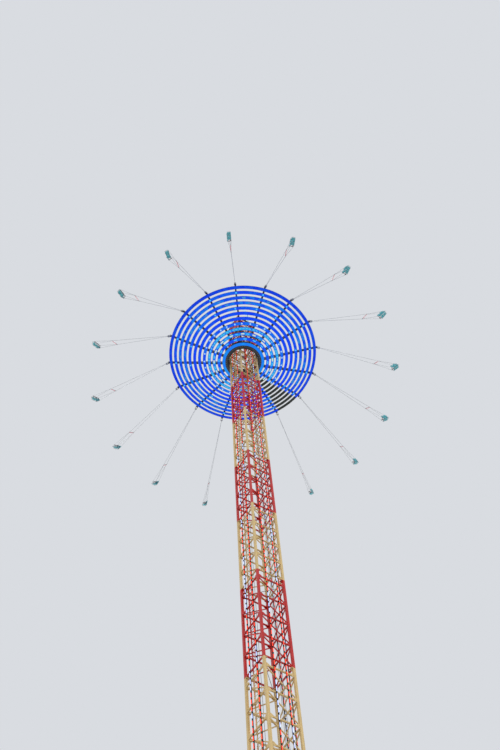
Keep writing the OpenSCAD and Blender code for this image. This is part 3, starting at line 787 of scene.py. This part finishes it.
def make_star_lamps():
    """Lamps under the hoops, at the same places in every sector. Those on the unlit stretch don't glow."""
    round_lamp = dome(11 * MM, 5 * MM)
    bar, short = lamp_bar(46 * MM, 15 * MM, 4 * MM), lamp_bar(30 * MM, 14 * MM, 4 * MM)
    # Hoop from the hub out, its lamp and finish, and its places in degrees from each arm
    rows = [(1, bar, "cyan", (9.5,)), (2, bar, "warm", (4.4,)), (2, short, "cyan", (-7.5, 13.5)),
            (3, short, "teal", (-6.0, 0.5, 6.0, 11.5)), (4, round_lamp, "pale", (-6.6, 3.6)),
            (7, round_lamp, "cyan", (-2.5,)), (8, bar, "dim", (-10.5,)), (9, bar, "dim", (6.3,)),
            (10, round_lamp, "cyan", (0.0,))]
    finishes = {"cyan": CYAN_LAMP, "teal": TEAL_LAMP, "pale": PALE_LAMP, "warm": WARM_LAMP, "dim": DIM_LAMP,
                "unlit": UNLIT}
    shapes = {name: Shape() for name in finishes}
    # The unlit stretch lies between the first two arms, and ends this far from their middles
    lit_beside_arm = 35 * MM
    sector = 360 / ARMS
    down = HANG @ turn(math.atan(RISE), "Y")
    for k, lamp, finish, offsets in rows:
        radius = FIRST_R + k * HOOP_PITCH
        margin = math.degrees(math.asin(lit_beside_arm / radius))
        for i in range(ARMS):
            for offset in offsets:
                place = (i * sector + offset) % 360
                name = "unlit" if margin < place < sector - margin else finish
                shapes[name].copies(lamp, [turn(ARM_PHASE + math.radians(place))
                                           @ shift(radius, 0, cone_z(radius)) @ down])
    for name, shape in shapes.items():
        slot = "unlit_light" if name == "unlit" else "crown_light"
        shape.make(f"star_lamps_{name}", finishes[name], "star", slot)


# Seats

def chain(start, end, pitch, wire, width):
    """A chain of stadium links along a straight line, every second link turned a quarter."""
    start, end = Vector(start), Vector(end)
    count = max(2, round((end - start).length / pitch))
    bend = (width - wire) / 2
    straight = (end - start).length / count / 2 + wire / 2 - bend
    outline = []
    for a in around(8):
        a += math.pi / 8
        outline.append((bend * math.cos(a), 0, bend * math.sin(a) + math.copysign(straight, math.sin(a))))
    links = Shape().sweep(outline, wire / 2, 4, closed=True)
    aim = (end - start).to_track_quat("Z", "Y").to_matrix().to_4x4()
    return Shape().copies(links, [Matrix.Translation(start.lerp(end, (k + 0.5) / count)) @ aim
                                  @ turn(math.radians(45 + 90 * (k % 2))) for k in range(count)])


def hanger_shape():
    """Rounded hanger plates with their pin, nuts and the block that the chains hang from."""
    inner, outer = ARM_W / 2 + 1 * MM, ARM_W / 2 + 5 * MM
    half_block = 6 * MM
    outline = [(HANGER_R * math.cos(a), HANGER_R * math.sin(a)) for a in around(18)[:10]]
    outline += [(x, -HANGER_L - 4 * MM) for x in (-HANGER_R, HANGER_R)]
    profile = [(5.2, 0), (5.2, 1.2), (4.4, 1.2), (4.4, 3.4), (0, 3.4)]
    nut = Shape().lathe([(r * MM, z * MM) for r, z in profile], 6)
    shape = Shape()
    for side in (-1, 1):
        front, back = sorted((side * inner, side * outer))
        shape.plate(outline, front, back)
        shape.copies(nut, [shift(0, side * outer, 0) @ turn(-side * math.pi / 2, "X")])
    shape.bar([(0, outer), (3 * MM, outer)], 16, STAND_OUT)
    return shape.block((-HANGER_R, -outer, -HANGER_L - half_block),
                       (HANGER_R, outer, -HANGER_L + half_block), 2 * MM)


def seat_frame():
    """The seat's tube frame: side loops, armrests, cross tubes, and a hoop with two uprights at the back."""
    shape = Shape()
    d = SEAT_D / 2 - 3 * MM
    low, high = -SEAT_DROP - 3 * MM, ARMREST_Z + 3 * MM
    for x in (-SIDE_X, SIDE_X):
        shape.sweep([(x, -d, high), (x, -d, low), (x, d, low), (x, d, high)], FRAME_TUBE_R, 8)
        shape.sweep([(x, -d, ARMREST_Z), (x, d, ARMREST_Z)], 2 * MM, 8)
    # Cross tubes under the buckets, each as low as the shell above it needs
    for y, drop in ((-d, 3 * MM), (d, 3 * MM), (9 * MM, 1.8 * MM), (-3.5 * MM, 1.2 * MM)):
        z = -SEAT_DROP - drop
        shape.sweep([(-SIDE_X, y, z), (SIDE_X, y, z)], FRAME_TUBE_R, 8)
    back, rail = -SEAT_D / 2 - 4.4 * MM, -SEAT_DROP + 38 * MM
    half_hoop = [(SIDE_X, -d, ARMREST_Z), (SIDE_X, -d - 3 * MM, ARMREST_Z + 5 * MM),
                 (SIDE_X - 4 * MM, back, rail)]
    shape.sweep(half_hoop + [(-x, y, z) for x, y, z in half_hoop[::-1]], FRAME_TUBE_R, 8)
    for x in (-SIDE_X / 2, SIDE_X / 2):
        shape.sweep([(x, -d, low), (x, back + 2 * MM, -SEAT_DROP - 2 * MM), (x, back, -SEAT_DROP),
                     (x, back, rail + 12 * MM)], FRAME_TUBE_R, 8)
    return shape


def seat_chains():
    """Two chains from the hanger to the spreader bar, and two from each of its ends to the seat's corners."""
    shape = Shape()
    bar_x = SPREADER_W / 2 - 6 * MM
    corner_y, corner_z = SEAT_D / 2 - 4 * MM, ARMREST_Z + 2 * MM
    for s in (-1, 1):
        runs = [chain((s * 5 * MM, 0, -HANGER_L - 6 * MM), (s * bar_x, 0, SPREADER_Z + SPREADER_R),
                      7.5 * MM, 1.5 * MM, 4.4 * MM)]
        runs += [chain((s * bar_x, 0, SPREADER_Z - SPREADER_R), (s * SIDE_X, y, corner_z),
                       6 * MM, 1.2 * MM, 3.6 * MM) for y in (-corner_y, corner_y)]
        for run in runs:
            shape.take(run.points, run.faces)
    return shape


def spreader_profile():
    """Half of the spreader tube's profile, with its turned end cap."""
    w, r = SPREADER_W / 2, SPREADER_R
    return [(0, w), (r * 0.8, w), (r * 1.15, w - 1.5 * MM), (r * 1.15, w - 5 * MM), (r, w - 6 * MM)]


def turned_up(v):
    """How far a bucket has turned up at a place: 0 on its seat, 1 on its backrest."""
    return min(1.0, max(0.0, (v - BEND_FROM) / BEND_SHARE))


def shell_point(side, u, v, depth=0.0):
    """A point of the moulded bucket on one side: u runs across it from -1 to 1, v from the front lip to the
    head. depth is how far the point lies below the face that is sat on."""
    front, back = SEAT_D / 2 - 1 * MM, -SEAT_D / 2 + 1 * MM
    up = turned_up(v)
    if up == 0:
        share = v / BEND_FROM
        y = front + (back + BEND_R - front) * share
        z = -2.5 * MM * (1 - share) ** 3
    elif up < 1:
        y = back + BEND_R - BEND_R * math.sin(up * math.pi / 2)
        z = BEND_R - BEND_R * math.cos(up * math.pi / 2)
    else:
        share = (v - BEND_FROM - BEND_SHARE) / (1 - BEND_FROM - BEND_SHARE)
        y = back - 3 * MM * share
        z = BEND_R + (BACK_H - BEND_R - 1 * MM) * share
    # The sides rise as wings, and the head is rounded from 0.82 of the length on
    wing = abs(u) ** 4 * 5 * MM
    narrow = 1 - 0.28 * max(0.0, v - 0.82) / 0.18 * u ** 2
    return (side * BUCKET_X + u * BUCKET_HALF * narrow, y + (wing - depth) * up,
            -SEAT_DROP + z + 2.4 * MM - depth + wing * (1 - up))


def bucket(side):
    """One moulded bucket seat as a closed shell with raised side wings."""
    across, along = 14, 26
    n = across + 1
    sheet = n * (along + 1)
    points = [shell_point(side, 2 * i / across - 1, j / along, depth)
              for depth in (0.0, BUCKET_T) for j in range(along + 1) for i in range(n)]
    faces = []
    for j in range(along):
        for i in range(across):
            a, d = j * n + i, (j + 1) * n + i
            faces.append((d, d + 1, a + 1, a))
            faces.append((sheet + a, sheet + a + 1, sheet + d + 1, sheet + d))
    # The rim runs round both faces, from the lip up one side, over the head and down the other
    rim = (list(range(n)) + [j * n + across for j in range(1, along + 1)]
           + [along * n + i for i in reversed(range(across))] + [j * n for j in reversed(range(1, along))])
    faces += [(a, b, sheet + b, sheet + a) for a, b in zip(rim, rim[1:] + rim[:1])]
    return Shape().take(points, faces)


def outer_place(side, u, v):
    """A frame on the outside of a bucket, with Z pointing out of the shell."""
    def outer(a, b):
        return Vector(shell_point(side, a, b, BUCKET_T))
    step = 0.01
    across = (outer(u + step, v) - outer(u - step, v)).normalized()
    along = (outer(u, v + step) - outer(u, v - step)).normalized()
    out = across.cross(along).normalized()
    return Matrix.Translation(outer(u, v)) @ Matrix((across, out.cross(across), out)).transposed().to_4x4()


def seat_lamp_places():
    """Places of the small lamps on a double seat: rows under both buckets and up their backs."""
    places = []
    for side in (-1, 1):
        for v in (0.08, 0.24, 0.40, 0.62, 0.76, 0.90):
            # The row on the rounded head is drawn in
            width = 0.85 if v > 0.85 else 1
            places += [outer_place(side, u * width, v) for u in (-0.72, -0.24, 0.24, 0.72)]
    return places


def seat_pads():
    """A foam sleeve on the lap bar over each seat, and pads on the three armrests."""
    shape = Shape()
    reach = SIDE_X / 2 - 5 * MM
    half = [(0, reach), (3.2 * MM, reach), (3.8 * MM, reach - 1 * MM)]
    for x in (-SIDE_X / 2, SIDE_X / 2):
        shape.bar(half, 14, shift(x, LAP_BAR_Y, LAP_BAR_Z) @ ALONG_X)
    for x in (-SIDE_X, 0, SIDE_X):
        shape.block((x - 2.4 * MM, -SEAT_D / 2 + 2 * MM, LAP_BAR_Z - 3 * MM),
                    (x + 2.4 * MM, SEAT_D / 2 - 4 * MM, LAP_BAR_Z + 1.2 * MM), 1.4 * MM)
    return shape


def seat_pieces():
    """The shapes of one double seat, each with its name, finish and slot, as it hangs straight down."""
    shells = Shape()
    for side in (-1, 1):
        one = bucket(side)
        shells.take(one.points, one.faces)
    steel = hanger_shape()
    spreader = Shape().bar(spreader_profile(), 16, shift(0, 0, SPREADER_Z) @ ALONG_X)
    lap_bar = Shape().sweep([(x, LAP_BAR_Y, LAP_BAR_Z) for x in (-SIDE_X, SIDE_X)], 1.8 * MM, 8)
    for part in (seat_chains(), spreader, seat_frame(), lap_bar):
        steel.take(part.points, part.faces)
    lamps = Shape().copies(dome(2.6 * MM, 2.2 * MM), seat_lamp_places())
    reach = SPREADER_W / 2 - 16 * MM
    glow = Shape().bar([(0, reach), (2 * MM, reach), (2.6 * MM, reach - 1 * MM)], 12,
                       shift(0, 0, SPREADER_Z - 5.6 * MM) @ ALONG_X)
    return [("seat_shells", shells, SEAT_TEAL, "seat_shell"), ("seat_steel", steel, CHAIN_ZINC, "galvanised"),
            ("seat_pads", seat_pads(), FOAM, "roller_tyre"), ("seat_lamps", lamps, SEAT_LAMP, "crown_light"),
            ("seat_glow", glow, ROSE_TUBE, "crown_light")]


def make_seats():
    """The same meshes at every arm's tip, leaning outward on their pin as the frame's seats do."""
    meshes = [(name, shape.mesh(name, material), slot) for name, shape, material, slot in seat_pieces()]
    for joint in frame["joints"]:
        if not joint["name"].startswith("seat_swing_"):
            continue
        number = joint["name"][-2:]
        body = f"swing_seat_{number}"
        pin = Vector(joint["pos_m"])
        place = Matrix.Translation(pin) @ turn(math.atan2(pin.y, pin.x)) @ turn(-FLING, "Y")
        for name, mesh, slot in meshes:
            piece = put(mesh, f"{name}_{number}", body, place)
            if name == "seat_steel":
                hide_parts(body)


# Stage, light and camera

def make_stage():
    """A wide pale floor, soft sky light and two soft distant lamps, which light the whole height alike."""
    floor_r, floor_low, floor_top = 100, -0.02, -0.001
    floor = Shape().lathe([(0, floor_low), (floor_r, floor_low), (floor_r, floor_top), (0, floor_top)], 96)
    link("floor", floor.mesh("floor", matt_floor("pale_floor", "#e4e3df")))
    world = bpy.data.worlds.new("studio")
    bpy.context.scene.world = world
    world.use_nodes = True
    tree = world.node_tree
    tree.nodes.clear()
    rays = add(tree, "ShaderNodeLightPath").outputs
    direct = add(tree, "ShaderNodeMath", {0: rays["Is Camera Ray"], 1: rays["Is Glossy Ray"]},
                 operation="MAXIMUM")
    seen = add(tree, "ShaderNodeMath", {0: direct, 1: rays["Is Transmission Ray"]}, operation="MAXIMUM")
    soft = add(tree, "ShaderNodeBackground", values={"Color": "#ffffff", "Strength": 0.62})
    back = add(tree, "ShaderNodeBackground", values={"Color": "#d9dce1", "Strength": 1.0})
    mix = add(tree, "ShaderNodeMixShader", {0: seen, 1: soft, 2: back})
    add(tree, "ShaderNodeOutputWorld", {"Surface": mix})
    # Each lamp's place, its strength and how wide it is in degrees
    lamps = {"key_lamp": ((-9, -12, 8), 1.3, 30), "fill_lamp": ((12, -6, 3), 0.5, 60)}
    for name, (place, strength, spread) in lamps.items():
        light = bpy.data.lights.new(name, "SUN")
        light.energy = strength
        light.angle = math.radians(spread)
        lamp = link(name, light)
        lamp.location = place
        lamp.rotation_euler = (-Vector(place)).to_track_quat("-Z", "Y").to_euler()


def make_camera():
    """The photograph's view: from beside the tower's foot, steeply up to the star."""
    ahead = Vector((math.sin(CAMERA_YAW), math.cos(CAMERA_YAW), 0))
    right = Vector((math.cos(CAMERA_YAW), -math.sin(CAMERA_YAW), 0))
    forward = ahead * math.cos(CAMERA_PITCH) + Vector((0, 0, math.sin(CAMERA_PITCH)))
    up = Vector((0, 0, math.cos(CAMERA_PITCH))) - ahead * math.sin(CAMERA_PITCH)
    rolled_right = right * math.cos(CAMERA_ROLL) + up * math.sin(CAMERA_ROLL)
    rolled_up = up * math.cos(CAMERA_ROLL) - right * math.sin(CAMERA_ROLL)
    axes = Matrix((rolled_right, rolled_up, -forward)).transposed().to_4x4()
    data = bpy.data.cameras.new("camera")
    data.lens = CAMERA_LENS
    data.sensor_width = 36
    data.clip_start = 0.05
    data.clip_end = 200
    camera = link("camera", data)
    camera.matrix_world = turn(-TOWER_TURN) @ shift(0, -CAMERA_DISTANCE, CAMERA_HEIGHT) @ axes
    bpy.context.scene.camera = camera


make_camera()
dress_frame()
make_gussets()
make_flange_bolts()
make_plan_bracing()
make_ladder_rungs()
make_strips()
make_crown()
make_head_grating()
make_carriage_bolts()
make_roller_hubs()
make_arm_trim()
make_hoop_rims()
make_star_lamps()
make_seats()
make_stage()
bpy.context.scene.view_settings.view_transform = "Standard"
